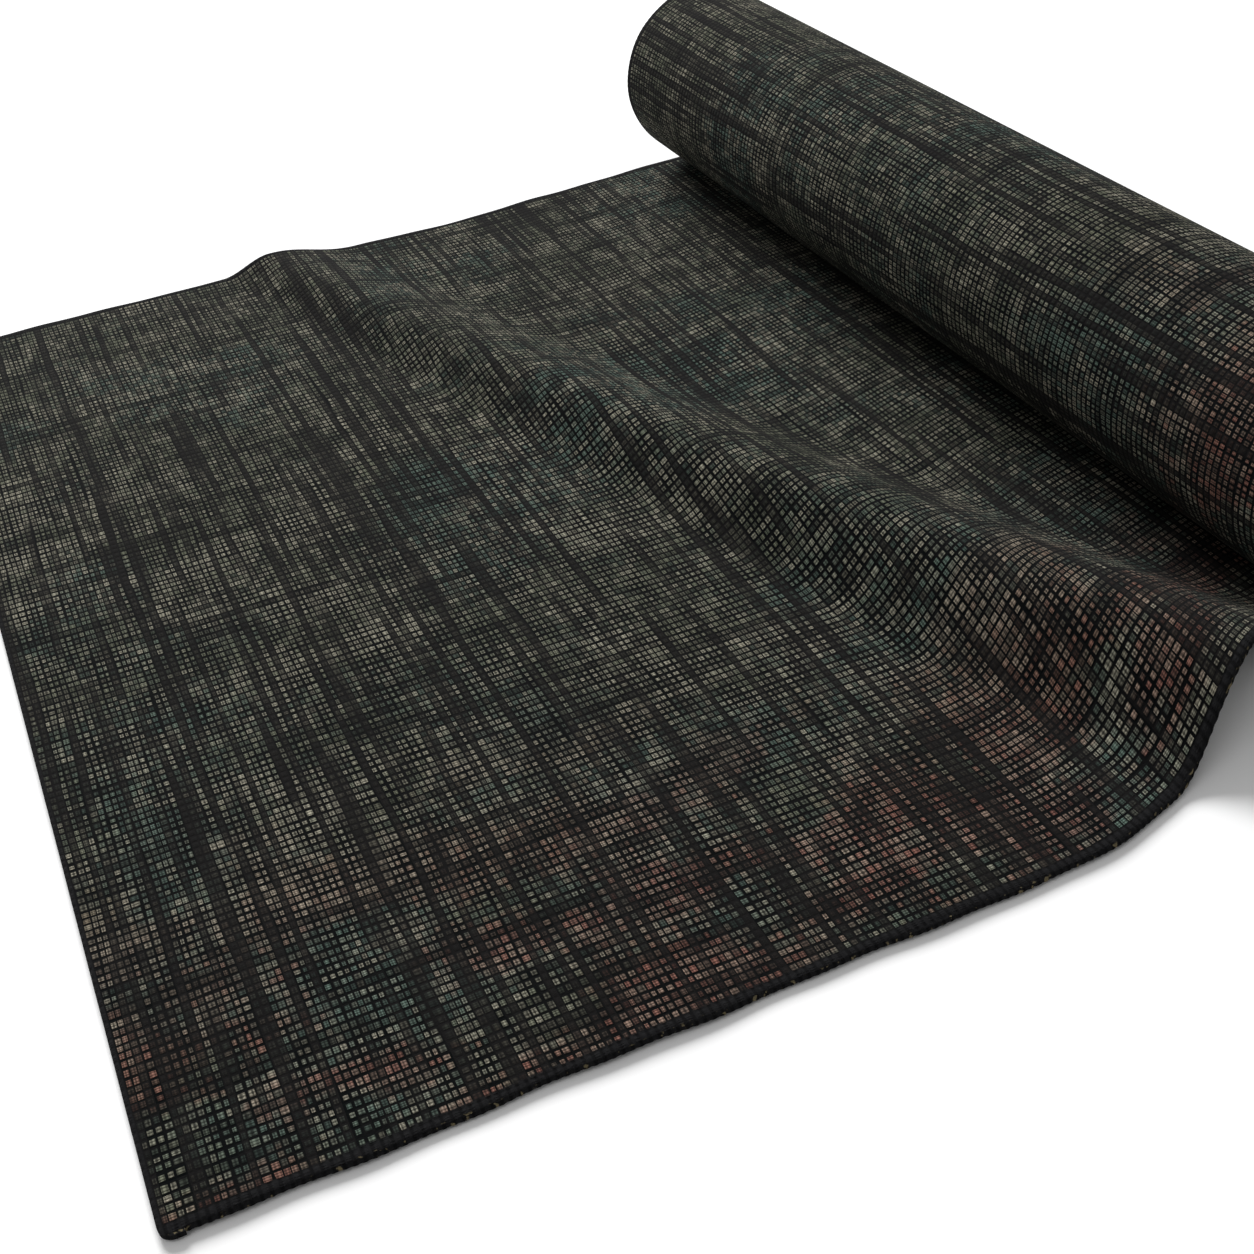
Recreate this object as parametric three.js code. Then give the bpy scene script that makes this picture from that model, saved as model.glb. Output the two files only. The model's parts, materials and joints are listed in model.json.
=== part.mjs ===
// Practice putting mat: a woven strip with bound edges, one end rolled up on top of the laid run.
// Millimetres, +Z up. X runs along the mat from its lead end to the roll, Y across it.
import * as THREE from "three";

// ---- driving sizes ----
const matWidth = 500; // across the mat, outer edge to outer edge
const laidLength = 385; // lead end to the line the roll rests on
const rollRadius = 42; // outside of the roll
const clothThickness = 1.6;
const turnPitch = 2.4; // from one turn of the roll to the next
const coreTurns = 5; // turns wound inside the hinged one
const selvedgeWidth = 9; // woven edge along both sides
const hemWidth = 6; // turned end, across the mat
const nearDrift = 50; // how far the near edge comes in before it enters the roll
const farDrift = 10; // how far the far edge goes out there
const driftLength = 145; // how long before the roll both begin
const stripCount = 10; // hinged strips of the outermost turn
const stripAngle = THREE.MathUtils.degToRad(30); // arc of one strip
const seam = 0.3; // clearance between neighbouring pieces

// the diagonal wave in the laid run, at its two edges: how far the crest lies before the roll,
// its height and the reach of its two slopes
const wave = {
  near: { before: 67, height: 26, front: 36, back: 52 },
  far: { before: 230, height: 7, front: 22, back: 40 },
  swell: 1.25, // over 1 keeps the height low near the far side
};

// ---- looks ----
const weaveLook = { color: 0x3a3d3b, roughness: 0.92, metalness: 0 };
const edgeLook = { color: 0x25262a, roughness: 0.85, metalness: 0 };

// ---- dependent sizes ----
const sweptAngle = stripCount * stripAngle;
const coreEndAngle = sweptAngle + coreTurns * 2 * Math.PI;
const crestSlant = Math.cos(
  Math.atan2(wave.far.before - wave.near.before, matWidth),
);
const acrossWeave = [selvedgeWidth + seam / 2, matWidth - selvedgeWidth - seam / 2];
const acrossNear = [0, selvedgeWidth - seam / 2];
const acrossFar = [matWidth - selvedgeWidth + seam / 2, matWidth];

const mix = THREE.MathUtils.lerp;

// Height of the laid cloth's underside at a place along it and across it.
function waveHeight(along, across) {
  const y = across / matWidth;
  const crest = laidLength - mix(wave.near.before, wave.far.before, y);
  const side = along < crest ? "front" : "back";
  const reach = mix(wave.near[side], wave.far[side], y);
  const q = Math.min(1, Math.abs(along - crest) * crestSlant / reach);
  const height = mix(wave.far.height, wave.near.height, Math.pow(1 - y, wave.swell));
  return height * 0.5 * (1 + Math.cos(Math.PI * q));
}

// Sideways shift of a place across the mat once it has reached the roll.
function rollDrift(across) {
  return mix(nearDrift, farDrift, across / matWidth);
}

// A point of the laid run: depth 0 is the underside, depth 1 the top.
function laidPoint(along, across, depth) {
  const share = THREE.MathUtils.smoothstep(along, laidLength - driftLength, laidLength);
  const z = waveHeight(along, across) + depth * clothThickness;
  return [along, across + share * rollDrift(across), z];
}

// A point of the roll: the angle grows from the contact line up the far side and over the top.
function rollPoint(angle, across, depth) {
  const r = spiralRadius(angle) - depth * clothThickness;
  const x = laidLength + r * Math.sin(angle);
  return [x, across + rollDrift(across), rollRadius - r * Math.cos(angle)];
}

function spiralRadius(angle) {
  return rollRadius - turnPitch * angle / (2 * Math.PI);
}

// A closed thin solid over a grid of stations along and across, from the point function given.
function clothSolid(point, [start, end], alongCount, [left, right], acrossCount) {
  const vertices = [];
  const faces = [];
  const row = acrossCount + 1;
  const layer = row * (alongCount + 1);
  for (const depth of [0, 1]) {
    for (let i = 0; i <= alongCount; i++) {
      for (let j = 0; j <= acrossCount; j++) {
        const u = mix(start, end, i / alongCount);
        vertices.push(...point(u, mix(left, right, j / acrossCount), depth));
      }
    }
  }
  const quad = (a, b, c, d) => faces.push(a, b, c, a, c, d);
  for (let i = 0; i < alongCount; i++) {
    for (let j = 0; j < acrossCount; j++) {
      const a = i * row + j;
      quad(a, a + 1, a + row + 1, a + row);
      quad(layer + a, layer + a + row, layer + a + row + 1, layer + a + 1);
    }
    const near = i * row;
    const far = near + acrossCount;
    quad(near, near + row, layer + near + row, layer + near);
    quad(far, layer + far, layer + far + row, far + row);
  }
  for (let j = 0; j < acrossCount; j++) {
    const last = alongCount * row + j;
    quad(j, layer + j, layer + j + 1, j + 1);
    quad(last, last + 1, layer + last + 1, layer + last);
  }
  const geometry = new THREE.BufferGeometry();
  geometry.setAttribute("position", new THREE.Float32BufferAttribute(vertices, 3));
  geometry.setIndex(faces);
  geometry.computeVertexNormals();
  return geometry;
}

const group = new THREE.Group();

function addPiece(name, look, geometry) {
  const mesh = new THREE.Mesh(geometry, new THREE.MeshStandardMaterial(look));
  mesh.name = name;
  group.add(mesh);
}

// One stretch of the mat: the weave and its two woven edges.
function addStretch(prefix, suffix, point, span, alongCount, acrossCount) {
  const edgeCount = Math.min(2, acrossCount);
  const weave = clothSolid(point, span, alongCount, acrossWeave, acrossCount);
  addPiece(`${prefix}_weave${suffix}`, weaveLook, weave);
  const near = clothSolid(point, span, alongCount, acrossNear, edgeCount);
  addPiece(`${prefix}_near_selvedge${suffix}`, edgeLook, near);
  const far = clothSolid(point, span, alongCount, acrossFar, edgeCount);
  addPiece(`${prefix}_far_selvedge${suffix}`, edgeLook, far);
}

// ---- laid run, with the hem across its lead end ----
const hemSpan = [0, hemWidth - seam / 2];
addPiece("lead_hem", edgeLook, clothSolid(laidPoint, hemSpan, 1, [0, matWidth], 1));
const laidSpan = [hemWidth + seam / 2, laidLength - seam / 2];
addStretch("laid", "", laidPoint, laidSpan, 64, 32);

// ---- outermost turn, in strips that hinge on one another ----
const halfSeamAngle = seam / 2 / rollRadius;
for (let k = 0; k < stripCount; k++) {
  const span = [k * stripAngle + halfSeamAngle, (k + 1) * stripAngle - halfSeamAngle];
  addStretch("turn", "_" + String(k + 1).padStart(2, "0"), rollPoint, span, 6, 1);
}

// ---- the rest of the roll round its open core, with the hem across its inner end ----
const coreStep = THREE.MathUtils.degToRad(12);
const hemAngle = hemWidth / spiralRadius(coreEndAngle);
const coreSpan = [sweptAngle + halfSeamAngle, coreEndAngle - hemAngle - halfSeamAngle];
const coreCount = Math.ceil((coreSpan[1] - coreSpan[0]) / coreStep);
addStretch("core", "", rollPoint, coreSpan, coreCount, 1);
const coreHemSpan = [coreEndAngle - hemAngle + halfSeamAngle, coreEndAngle];
addPiece("core_hem", edgeLook, clothSolid(rollPoint, coreHemSpan, 2, [0, matWidth], 1));

// ---- origin: the middle of the footprint, on the floor ----
const box = new THREE.Box3().setFromObject(group);
const middle = box.getCenter(new THREE.Vector3());
for (const mesh of group.children) {
  mesh.geometry.translate(-middle.x, -middle.y, -box.min.z);
}

export default group;
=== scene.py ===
import json
import math

import bpy
import numpy as np
from mathutils import Matrix, Vector


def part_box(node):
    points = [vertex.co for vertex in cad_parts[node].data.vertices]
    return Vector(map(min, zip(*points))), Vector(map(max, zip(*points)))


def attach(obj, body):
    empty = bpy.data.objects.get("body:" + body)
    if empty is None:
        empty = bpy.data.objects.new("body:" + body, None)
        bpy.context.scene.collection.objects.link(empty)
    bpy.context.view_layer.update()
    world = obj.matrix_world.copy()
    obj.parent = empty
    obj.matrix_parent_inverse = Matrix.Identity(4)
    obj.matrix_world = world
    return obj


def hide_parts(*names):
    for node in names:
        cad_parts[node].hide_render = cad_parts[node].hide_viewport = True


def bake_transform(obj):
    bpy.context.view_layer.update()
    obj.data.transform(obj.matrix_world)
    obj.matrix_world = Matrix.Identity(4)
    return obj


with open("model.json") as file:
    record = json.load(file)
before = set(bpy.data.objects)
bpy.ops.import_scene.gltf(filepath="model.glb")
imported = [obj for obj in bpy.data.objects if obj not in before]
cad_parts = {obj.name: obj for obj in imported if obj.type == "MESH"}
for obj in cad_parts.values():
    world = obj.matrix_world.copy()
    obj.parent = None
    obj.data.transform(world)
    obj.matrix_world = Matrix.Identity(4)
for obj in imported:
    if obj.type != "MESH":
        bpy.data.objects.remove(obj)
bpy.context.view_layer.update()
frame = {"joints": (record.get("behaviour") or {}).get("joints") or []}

# The mat is one length of cloth: laid flat over a ripple, then wound on a spiral.
# Its sizes come from the frame, in metres.
joints = frame["joints"]
hemLow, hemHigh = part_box("lead_hem")
coreLow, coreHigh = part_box("core_hem")
leadX, nearY = hemLow.x, hemLow.y
contactX = joints[0]["pos_m"][0]  # the line the roll rests on
quarterTurn = joints[3]["pos_m"]  # this hinge stands level with the roll's axis
axisZ = quarterTurn[2]
turnStrips = len(joints) - 1

mat = {
    "width": hemHigh.y - nearY,
    "laid": contactX - leadX,
    "radius": axisZ,
    "thickness": hemHigh.z - hemLow.z,
    "pitch": (axisZ - (quarterTurn[0] - contactX)) * 4,  # radius lost over a quarter turn, times four
    "hem": hemHigh.x - leadX,
    "nearDrift": coreLow.y - nearY,  # how far the near edge comes in before the roll
    "farDrift": coreHigh.y - hemHigh.y,  # how far the far edge goes out
    "driftLength": 0.145,
    "selvedge": 0.009,
    "cornerRound": 0.0038,
    "stripAngle": math.radians(30),
    "coreTurns": 5,
}

ripple = {  # at the mat's two edges: the crest's distance before the roll, its height, and its two slopes
    "near": {"before": 0.067, "height": 0.026, "front": 0.036, "back": 0.052},
    "far": {"before": 0.230, "height": 0.007, "front": 0.022, "back": 0.040},
    "swell": 1.25,
}

slack = {  # how far used cloth strays from a perfect sheet
    "pucker": 0.0007,
    "puckerFade": 0.05,  # puckers die away over this length before the roll
    "edgeDrift": 0.0006,
    "turnWander": 0.00022,
    "telescope": 0.0032,
    "looseFrom": 0.4,  # radians past the outermost turn at which the turns begin to lie loose
    "looseWithin": 1.5,
}

print("frame read: mat", round(mat["width"], 4), "wide, roll radius", round(mat["radius"], 4))


def mix(a, b, t):
    return a + (b - a) * t


def smooth(t):
    t = np.clip(t, 0.0, 1.0)
    return t * t * (3 - 2 * t)


# height of the ripple: half a cosine up its front slope and half a cosine down its back
def rippleHeight(along, across):
    near, far = ripple["near"], ripple["far"]
    y = across / mat["width"]
    crest = mat["laid"] - mix(near["before"], far["before"], y)
    front = mix(near["front"], far["front"], y)
    back = mix(near["back"], far["back"], y)
    slant = math.cos(math.atan2(far["before"] - near["before"], mat["width"]))
    q = np.minimum(1.0, np.abs(along - crest) * slant / np.where(along < crest, front, back))
    height = mix(far["height"], near["height"], np.power(np.clip(1 - y, 0, 1), ripple["swell"]))
    return height * 0.5 * (1 + np.cos(np.pi * q))


# small lasting puckers: two slanted products of sines, lifted so that nothing goes under the floor
def puckerHeight(along, across):
    a = np.sin(along * 61 + across * 23 + 0.7) * np.sin(across * 47 - along * 9 + 2.1)
    b = np.sin(along * 128 - across * 71 + 1.3) * np.sin(across * 97 + along * 33)
    fade = smooth((mat["laid"] - along) / slack["puckerFade"])
    return slack["pucker"] * (0.5 + 0.35 * a + 0.15 * b) * fade


# how far the cloth has drifted sideways: nothing on the flat, all of it at the roll
def sideDrift(along, across):
    share = smooth((along - mat["laid"]) / mat["driftLength"] + 1)
    return share * mix(mat["nearDrift"], mat["farDrift"], across / mat["width"])


# length of cloth in a spiral: radius times angle, less pitch times angle squared over four pi
def spiralRun(angle):
    return mat["radius"] * angle - mat["pitch"] * angle * angle / (4 * math.pi)


# the same solved for the angle
def spiralAngle(run):
    root = np.sqrt(mat["radius"] ** 2 - mat["pitch"] * run / math.pi)
    return (mat["radius"] - root) * 2 * math.pi / mat["pitch"]


# a point of the cloth from its run along the mat, its place across it and its depth (0 underside,
# 1 top): flat up to the contact line, and after it on a circle whose radius shrinks with the angle
def clothPoint(run, across, depth):
    laid = run <= mat["laid"]
    along = np.minimum(run, mat["laid"])
    flatZ = rippleHeight(along, across) + puckerHeight(along, across) + depth * mat["thickness"]
    angle = spiralAngle(np.maximum(run - mat["laid"], 0.0))
    pastOuter = angle - turnStrips * mat["stripAngle"]
    inner = smooth((pastOuter - slack["looseFrom"]) / slack["looseWithin"])  # 0 on the outer turn
    radius = mat["radius"] - mat["pitch"] * angle / (2 * math.pi) - depth * mat["thickness"]
    radius = radius + slack["turnWander"] * inner * np.sin(angle * 3.3 + 1.1 + across * 5)
    slide = slack["telescope"] * inner * (0.7 + 0.3 * np.sin(angle * 0.9))
    x = np.where(laid, leadX + along, contactX + radius * np.sin(angle))
    y = nearY + across + sideDrift(along, across) + slide
    z = np.where(laid, flatZ, axisZ - radius * np.cos(angle))
    return np.stack([x, y, z], axis=-1)


# A closed strip of cloth: a ring of points round its section, carried along the run. sideOf gives
# the ring's places across and depths at each run, and the UV map holds (place across, run), metres.
def clothMesh(name, runs, sideOf):
    runs = runs[:, None]
    across, depth = sideOf(runs)
    count, ring = across.shape
    runs = np.broadcast_to(runs, across.shape)
    index = np.arange(count * ring).reshape(count, ring)
    right = np.roll(index, -1, axis=1)
    walls = np.stack([index[:-1], right[:-1], right[1:], index[1:]], axis=-1).reshape(-1, 4)
    j = np.arange(ring // 2 - 1)
    cap = np.stack([j, ring - 1 - j, ring - 2 - j, j + 1], axis=-1)
    quads = np.concatenate([walls, cap, (cap + (count - 1) * ring)[:, ::-1]])
    mesh = bpy.data.meshes.new(name)
    mesh.from_pydata(clothPoint(runs, across, depth).reshape(-1, 3), [], quads.tolist())
    uv = np.stack([across, runs], axis=-1).reshape(-1, 2)[quads.reshape(-1)]
    mesh.uv_layers.new(name="clothUV").data.foreach_set("uv", uv.astype(np.float32).ravel())
    mesh.shade_smooth()
    mesh.set_sharp_from_angle(angle=math.radians(50))
    piece = bpy.data.objects.new(name, mesh)
    bpy.context.scene.collection.objects.link(piece)
    return piece


# the ring that every section shares: the underside from near to far, then the top back again
def ringOf(across, under, over):
    places = np.concatenate([across, across[:, ::-1]], axis=1)
    return places, np.concatenate([under, over[:, ::-1]], axis=1)


# the weave's section is a plain slab between the two selvedges
def weaveSection(columns):
    across = np.linspace(mat["selvedge"], mat["width"] - mat["selvedge"], columns + 1)

    def sideOf(runs):
        flat = 0 * runs + 0 * across
        return ringOf(flat + across, flat, flat + 1)

    return sideOf


edgeBand = {
    "beaten": 0.0038,  # the tight dark band at the very edge
    "rib": 0.0024,
    "ribHeight": 0.12,  # in thicknesses
    "ribBite": 0.00022,
    "columns": 11,
    "crowding": 1.6,  # over 1 draws the columns toward the edge
    "roundOver": 0.0008,
    "rimThickness": 0.30,  # of the cloth's, at the very edge
}


# A selvedge's section: a quarter-round rim, then the beaten band, where each rib stands a little
# proud and bites into the edge, then plain cloth. The edge itself wanders by two slow sines.
def selvedgeSection(far):
    t = np.linspace(0, 1, edgeBand["columns"] + 1) ** edgeBand["crowding"]
    place = t * mat["selvedge"]
    rim = np.clip(place / edgeBand["roundOver"], 0, 1)
    half = 0.5 * np.maximum(np.sqrt(1 - (1 - rim) ** 2), edgeBand["rimThickness"])
    band = np.sin(np.pi * np.clip(place / edgeBand["beaten"], 0, 1))

    def sideOf(runs):
        rib = 0.5 + 0.5 * np.sin(2 * np.pi * runs / edgeBand["rib"])
        wander = slack["edgeDrift"] * (0.6 * np.sin(runs * 83) + 0.4 * np.sin(runs * 211 + 1))
        across = place + (wander + edgeBand["ribBite"] * rib) * (1 - t)
        under = 0.5 - half + 0 * runs
        over = 0.5 + half + edgeBand["ribHeight"] * rib * band
        if far:
            across, under, over = mat["width"] - across[:, ::-1], under[:, ::-1], over[:, ::-1]
        return ringOf(across, under, over)

    return sideOf


# A hem's section spans the whole width. Away from its end edge the corners open out on a quarter
# circle, and the cloth swells from the thin end edge to its full thickness.
def hemSection(columns, edgeRun, sign):
    t = np.linspace(0, 1, columns + 1)
    bend = mat["cornerRound"]

    def sideOf(runs):
        away = np.clip(sign * (runs - edgeRun), 0, bend)
        inset = bend - np.sqrt(np.maximum(bend ** 2 - (bend - away) ** 2, 0))
        half = 0.5 * np.clip(0.35 + away / edgeBand["roundOver"], 0.35, 1) + 0 * t
        return ringOf(inset + t * (mat["width"] - 2 * inset), 0.5 - half, 0.5 + half)

    return sideOf


def linearColour(code):
    channels = [int(code[i:i + 2], 16) / 255 for i in (1, 3, 5)]
    return [c / 12.92 if c <= 0.04045 else ((c + 0.055) / 1.055) ** 2.4 for c in channels] + [1.0]


# adds one node, sets it up, feeds its inputs (values or sockets, in order or by key)
# and gives back the socket that is used
def addNode(tree, kind, inputs=(), out=0, **settings):
    node = tree.nodes.new("ShaderNode" + kind)
    for key, value in settings.items():
        setattr(node, key, value)
    for key, value in inputs.items() if isinstance(inputs, dict) else enumerate(inputs):
        if isinstance(value, bpy.types.NodeSocket):
            tree.links.new(value, node.inputs[key])
        else:
            node.inputs[key].default_value = value
    return node.outputs[out] if node.outputs else node


def newMaterial(name):
    material = bpy.data.materials.new(name)
    material.use_nodes = True
    material.node_tree.nodes.clear()
    return material, material.node_tree


weaveLook = {
    "row": 0.0029,  # rows of boxes across the mat: one per group of four weft ends
    "column": 0.0020,  # boxes in a row: one per pair of warp ends
    # where the threads meander: features to the metre across and along, seed, reach
    "rowSway": [(60, 9, 7.7, 0.0040), (210, 11, 8.8, 0.0014)],
    "columnSway": [(8, 70, 3.1, 0.0036), (13, 260, 4.2, 0.0022)],
    # dark streaks: features to the metre or to the thread each way, seed, the noise at which a
    # thread is darkest and at which it is plain, and how much pale yarn a dark one still shows
    "darkEnds": [(5, 0.93, 1.3, 0.38, 0.46, 0.12), (9, 0.77, 5.9, 0.36, 0.42, 0.25)],
    "darkPicks": [(0.83, 12, 11.4, 0.34, 0.42, 0.38), (0.83, 5, 15.2, 0.27, 0.31, 0.30)],
    # the share of a crown that is gap, where pale yarn lies thin and where it lies thick
    "rowGap": (0.60, 0.36),
    "columnGap": (0.50, 0.24),
    "hollowDepth": 0.6,
    "rowPlies": 7.0,
    "columnPlies": 4.6,
    "brickReach": 0.16,  # how far in from the near edge the brick yarns come
    "colours": {
        "gapCool": "#060809",
        "gapWarm": "#161515",
        "teal": "#5c6e65",
        "moss": "#6b6e5e",
        "straw": "#a39f8e",
        "brick": "#8c5a50",
        "beaten": "#101011",
        "beatenRib": "#1c1c1d",
        "rimFleck": "#6a614a",
    },
    "relief": 0.0005,
}


# Plain-woven polyester and cotton yarns on a dark warp. It is matt and nearly black, and the eye
# gets its pattern from slubs: pale yarn shows as small boxes between the dark ends, and whole
# ends and picks go dark for a stretch, so dark streaks run both ways. Single threads are under
# half a millimetre and too fine to show, so a box is drawn for each group of them.
def wovenMaterial(name, rimFlecks):
    material, tree = newMaterial(name)
    look = weaveLook
    tone = {key: linearColour(code) for key, code in look["colours"].items()}
    cloth = addNode(tree, "UVMap", uv_map="clothUV")
    across = addNode(tree, "SeparateXYZ", [cloth])
    run = addNode(tree, "SeparateXYZ", [cloth], out=1)

    # noise on any pair of places, with so many features to the unit each way
    def unevenness(a, b, perA, perB, seed):
        spot = addNode(tree, "CombineXYZ", [a, b, 0.0])
        spot = addNode(tree, "VectorMath", [spot, (perA, perB, 0), (0, 0, seed)], operation="MULTIPLY_ADD")
        return addNode(tree, "TexNoise", {"Vector": spot, "Scale": 1.0, "Detail": 2.0})

    # 0 to 1 as the value passes from low to high, or between two other ends
    def rise(value, low, high, start=0.0, end=1.0):
        return addNode(tree, "MapRange", [value, low, high, start, end], interpolation_type="SMOOTHSTEP")

    def allOf(*shares):
        whole = shares[0]
        for share in shares[1:]:
            whole = addNode(tree, "Math", [whole, share], operation="MULTIPLY")
        return whole

    def swayed(value, sway, reach):
        return addNode(tree, "Math", [sway, reach, value], operation="MULTIPLY_ADD")

    def stain(share, under, over):
        return addNode(tree, "Mix", {0: share, 6: under, 7: over}, out=2, data_type="RGBA")

    # threads of one pitch: the number of each, its wave from 0 to pi and the sine of that, its crown
    def threadsOf(place, sways, pitch):
        for perAcross, perRun, seed, reach in sways:
            place = swayed(place, unevenness(across, run, perAcross, perRun, seed), reach)
        count = addNode(tree, "Math", [place, pitch], operation="DIVIDE")
        number = addNode(tree, "Math", [count], operation="FLOOR")
        wave = allOf(addNode(tree, "Math", [count], operation="FRACT"), math.pi)
        return number, wave, addNode(tree, "Math", [wave], operation="SINE")

    row, rowWave, rowCrown = threadsOf(across, look["rowSway"], look["row"])
    column, columnWave, columnCrown = threadsOf(run, look["columnSway"], look["column"])
    cell = addNode(tree, "CombineXYZ", [row, column, 0.0])
    chance = addNode(tree, "TexWhiteNoise", {"Vector": cell}, noise_dimensions="2D")
    otherChance = addNode(tree, "TexWhiteNoise", {"Vector": cell}, out=1)
    otherChance = addNode(tree, "SeparateXYZ", [otherChance], out=1)

    # dark ends lie across the mat, mostly in ones and twos; dark picks run along it and are fainter
    def darkening(a, b, streaks):
        return allOf(*[rise(unevenness(a, b, perA, perB, seed), low, high, darkest)
                       for perA, perB, seed, low, high, darkest in streaks])

    darkEnds = darkening(across, column, look["darkEnds"])
    darkPicks = darkening(row, run, look["darkPicks"])

    # boxes swell where the pale yarn lies thick, some are hollow, and all are ribbed by their plies
    fill = unevenness(across, run, 90, 130, 17.2)

    def boxShare(crown, gap, softness):
        above = addNode(tree, "Math", [crown, rise(fill, 0.34, 0.66, *gap)], operation="SUBTRACT")
        return rise(above, 0.0, softness)

    def pliesOf(wave, start, count, high, dark):
        turn = swayed(allOf(start, 2 * math.pi), wave, count)
        return rise(addNode(tree, "Math", [turn], operation="COSINE"), -0.9, high, dark, 1.05)

    box = allOf(boxShare(rowCrown, look["rowGap"], 0.16), boxShare(columnCrown, look["columnGap"], 0.22))
    hollow = allOf(rise(allOf(rowCrown, columnCrown), 0.72, 0.92, 0.0, look["hollowDepth"]),
                   rise(otherChance, 0.62, 0.66))
    plies = allOf(pliesOf(columnWave, chance, look["columnPlies"], 0.8, 0.40),
                  pliesOf(rowWave, otherChance, look["rowPlies"], 0.5, 0.45))
    strength = rise(chance, 0.0, 1.0, 0.40, 1.30)
    notHollow = addNode(tree, "Math", [1.0, hollow], operation="SUBTRACT")
    pale = allOf(box, darkEnds, darkPicks, strength, plies, notHollow)

    # yarn colours come in slow patches, and no two boxes match
    def patch(value, low, high):
        return rise(swayed(value, chance, 0.12), low, high)

    yarn = stain(patch(unevenness(across, run, 15, 12, 23.5), 0.41, 0.62), tone["teal"], tone["moss"])
    strawed = swayed(unevenness(across, run, 50, 24, 31.9), otherChance, 0.35)
    yarn = stain(rise(strawed, 0.52, 0.90), yarn, tone["straw"])
    nearness = rise(across, 0.010, look["brickReach"], 1.0, 0.0)
    brick = allOf(nearness, patch(unevenness(across, run, 46, 24, 41.3), 0.48, 0.64))
    yarn = stain(allOf(brick, rise(otherChance, 0.1, 0.7, 0.85, 0.5)), yarn, tone["brick"])
    gap = stain(allOf(darkEnds, rise(chance, 0.0, 1.0, 0.6, 1.0)), tone["gapWarm"], tone["gapCool"])
    colour = stain(pale, gap, yarn)

    # the edge is beaten tight in plain charcoal yarn, with a pale end caught here and there
    toEdge = addNode(tree, "Math", [mat["width"], across], operation="SUBTRACT")
    toEdge = addNode(tree, "Math", [toEdge, across], operation="MINIMUM")
    ragged = swayed(toEdge, unevenness(across, run, 90, 240, 47.0), 0.0012)
    beaten = rise(ragged, edgeBand["beaten"], edgeBand["beaten"] + 0.0010, 1.0, 0.0)
    ribWave = addNode(tree, "Math", [allOf(run, 2 * math.pi / edgeBand["rib"])], operation="SINE")
    ribTone = rise(ribWave, -0.9, 0.2)
    ribTone = allOf(ribTone, rise(unevenness(across, run, 900, 700, 51.0), 0.3, 0.7, 0.5, 1.0))
    band = stain(ribTone, tone["beaten"], tone["beatenRib"])
    rim = rise(toEdge, 0.0004, 0.0012, 1.0, 0.0)
    fleck = rise(unevenness(across, run, 900, 520, 9.0), 0.64 - 0.2 * rimFlecks, 0.70 - 0.2 * rimFlecks)
    band = stain(allOf(rim, fleck, 0.85), band, tone["rimFleck"])
    leadRim = rise(run, 0.0010, 0.0018, 1.0, 0.0)
    colour = stain(addNode(tree, "Math", [beaten, leadRim], operation="MAXIMUM"), colour, band)

    # crowned boxes over the gaps, with loose fibres on top
    fibre = unevenness(across, run, 2200, 1500, 53.0)
    relief = swayed(allOf(rowCrown, columnCrown, 0.5), pale, 0.6)
    relief = swayed(relief, fibre, 0.35)
    bump = addNode(tree, "Bump", {"Height": relief, "Strength": 0.7, "Distance": look["relief"]})
    shader = addNode(tree, "BsdfPrincipled", {
        "Base Color": colour, "Roughness": 0.95, "Normal": bump,
        "Sheen Weight": 0.008, "Sheen Roughness": 0.5, "Specular IOR Level": 0.03})
    addNode(tree, "OutputMaterial", [shader])
    return material


# the cloth as it shows nearly everywhere, and the same with more pale yarn caught in its rims,
# which tells the turns at the roll's ends apart
wovenCloth = wovenMaterial("slubWovenCloth", 0.2)
coreEdgeCloth = wovenMaterial("fleckedEdgeCloth", 0.45)
print("materials made")

meshStep = {"along": 0.0026, "columns": 190, "turn": 0.0018, "core": 0.0022, "coreColumns": 60}
ribStep = edgeBand["rib"] / 5


def runsBetween(start, end, step):
    return np.linspace(start, end, max(2, math.ceil((end - start) / step) + 1))


def finishPiece(piece, material, node):
    piece.data.materials.append(material)
    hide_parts(node)
    return piece


# one stretch of the mat: the weave and its two selvedges
def makeStretch(name, node, start, end, step, columns, edgeCloth):
    weave = clothMesh(name.format("weave"), runsBetween(start, end, step), weaveSection(columns))
    finishPiece(weave, wovenCloth, node.format("weave"))
    edges = []
    for side, far in (("near_selvedge", False), ("far_selvedge", True)):
        edge = clothMesh(name.format(side), runsBetween(start, end, ribStep), selvedgeSection(far))
        edges.append(finishPiece(edge, edgeCloth, node.format(side)))
    return [weave] + edges


strip = mat["stripAngle"]
handOver = 0.010  # the laid run stops this far before the contact line, where bending begins
laidEnd = mat["laid"] - handOver
coreStart = mat["laid"] + spiralRun((turnStrips + 0.25) * strip)
coreEnd = mat["laid"] + spiralRun(turnStrips * strip + mat["coreTurns"] * 2 * math.pi)

hemRuns = np.concatenate([np.linspace(0, 0.0012, 6), np.linspace(0.0018, mat["hem"], 8)])
leadHem = clothMesh("lead_hem_cloth", hemRuns, hemSection(meshStep["columns"], 0.0, 1))
finishPiece(leadHem, wovenCloth, "lead_hem")
laidRun = makeStretch("laid_{}_cloth", "laid_{}", mat["hem"], laidEnd, meshStep["along"],
                      meshStep["columns"], wovenCloth)
for piece in [leadHem] + laidRun:
    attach(piece, "laid_run")
print("laid run made")
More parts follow.
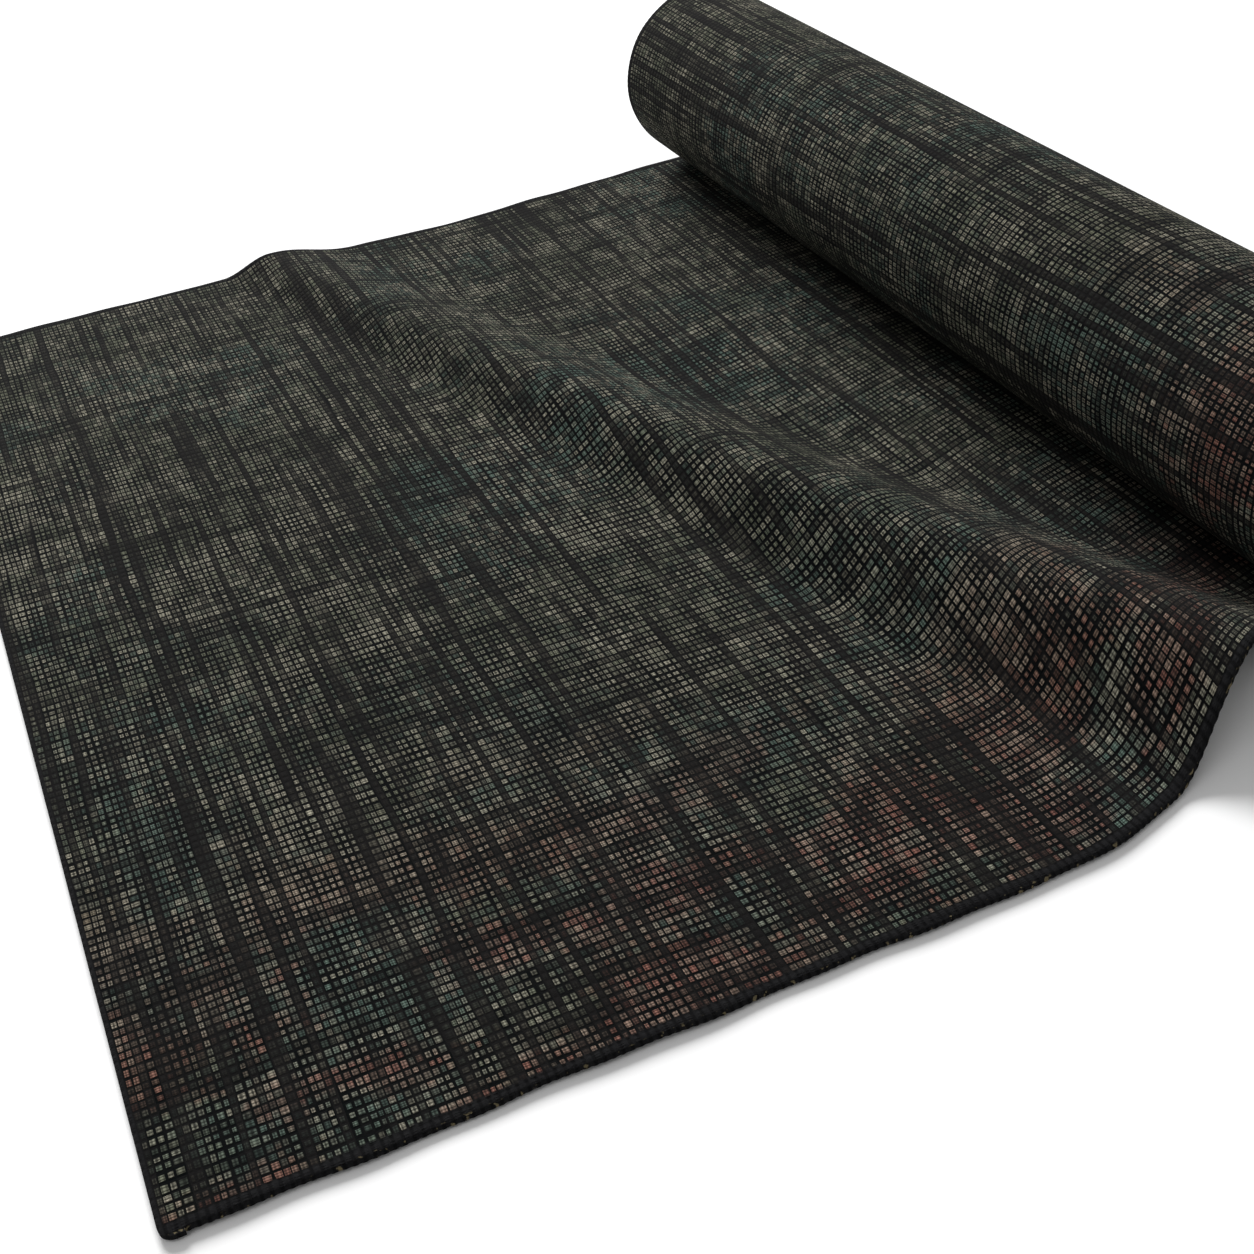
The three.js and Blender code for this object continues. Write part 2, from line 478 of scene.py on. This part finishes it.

# The outermost turn, cut at the middle of each hinged strip. Each piece holds a
# hinge in its own middle.
# where a piece begins and ends: in strips from its hinge, and in hand-overs before the first one
for k in range(turnStrips + 1):
    start = laidEnd if k == 0 else mat["laid"] + spiralRun((k - 0.5) * strip)
    end = coreStart if k == turnStrips else mat["laid"] + spiralRun((k + 0.5) * strip)
    node = "turn_{}_%02d" % min(k + 1, turnStrips)
    pieces = makeStretch("turn_{}_%02d_cloth" % k, node, start, end, meshStep["turn"],
                         meshStep["columns"], wovenCloth)
    for piece in pieces:
        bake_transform(piece)
print("hinged turn made:", turnStrips, "strips")

hemRuns = np.linspace(coreEnd - mat["hem"], coreEnd, 10)
coreHem = clothMesh("core_hem_cloth", hemRuns, hemSection(meshStep["coreColumns"], coreEnd, -1))
finishPiece(coreHem, coreEdgeCloth, "core_hem")
core = makeStretch("core_{}_cloth", "core_{}", coreStart, coreEnd - mat["hem"], meshStep["core"],
                   meshStep["coreColumns"], coreEdgeCloth)
for piece in [coreHem] + core:
    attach(piece, "roll_core")
print("roll core made")

studio = {  # the key stands low beyond the far side, so slopes that face the lead end fall dark
    "floor": "#f9f9f9",
    "floorReach": 14.0,
    "floorDrop": 0.0004,
    "sky": 0.33,
    "key": {"place": (0.2, 4.2, 2.5), "size": 2.8, "power": 395},
    "fill": {"place": (-1.0, -0.6, 2.2), "size": 1.8, "power": 8},
}


def makeFloor():
    reach = studio["floorReach"]
    mesh = bpy.data.meshes.new("floor")
    corners = [(-reach, -reach, 0), (reach, -reach, 0), (reach, reach, 0), (-reach, reach, 0)]
    mesh.from_pydata(corners, [], [(0, 1, 2, 3)])
    floor = bpy.data.objects.new("floor", mesh)
    bpy.context.scene.collection.objects.link(floor)
    floor.location.z = -studio["floorDrop"]
    material, tree = newMaterial("paintedStudioFloor")
    paint = {"Base Color": linearColour(studio["floor"]), "Roughness": 0.9, "Specular IOR Level": 0.1}
    addNode(tree, "OutputMaterial", [addNode(tree, "BsdfPrincipled", paint)])
    mesh.materials.append(material)


def makeLamp(name):
    spec = studio[name]
    data = bpy.data.lights.new(name, "AREA")
    data.shape = "DISK"
    data.size = spec["size"]
    data.energy = spec["power"]
    lamp = bpy.data.objects.new(name, data)
    bpy.context.scene.collection.objects.link(lamp)
    lamp.location = spec["place"]
    lamp.rotation_euler = (-Vector(spec["place"])).to_track_quat("-Z", "Y").to_euler()


def makeSky():
    world = bpy.data.worlds.new("studio")
    bpy.context.scene.world = world
    world.use_nodes = True
    background = world.node_tree.nodes["Background"]
    background.inputs[0].default_value = (1, 1, 1, 1)
    background.inputs[1].default_value = studio["sky"]


cameraSpec = {
    "place": (0.0516, -0.5251, 0.6528),  # in mat widths from the near lead corner
    "yaw": 69.45,
    "pitch": 35.95,
    "roll": 6.0,
    "lens": 49.9,
}


def makeCamera():
    data = bpy.data.cameras.new("camera")
    data.sensor_width = 36
    data.lens = cameraSpec["lens"]
    data.clip_start = 0.01
    camera = bpy.data.objects.new("camera", data)
    bpy.context.scene.collection.objects.link(camera)
    yaw, pitch, roll = (math.radians(cameraSpec[key]) for key in ("yaw", "pitch", "roll"))
    ahead = Vector((math.cos(pitch) * math.cos(yaw), math.cos(pitch) * math.sin(yaw), -math.sin(pitch)))
    level = Vector((math.sin(yaw), -math.cos(yaw), 0))
    down = ahead.cross(level)
    right = level * math.cos(roll) + down * math.sin(roll)
    up = level * math.sin(roll) - down * math.cos(roll)
    place = Vector((leadX, nearY, 0)) + Vector(cameraSpec["place"]) * mat["width"]
    turn = Matrix((right, up, -ahead)).transposed().to_4x4()
    camera.matrix_world = Matrix.Translation(place) @ turn
    bpy.context.scene.camera = camera


makeFloor()
makeSky()
makeLamp("key")
makeLamp("fill")
makeCamera()
bpy.context.scene.view_settings.view_transform = "Standard"

print("scene ready")
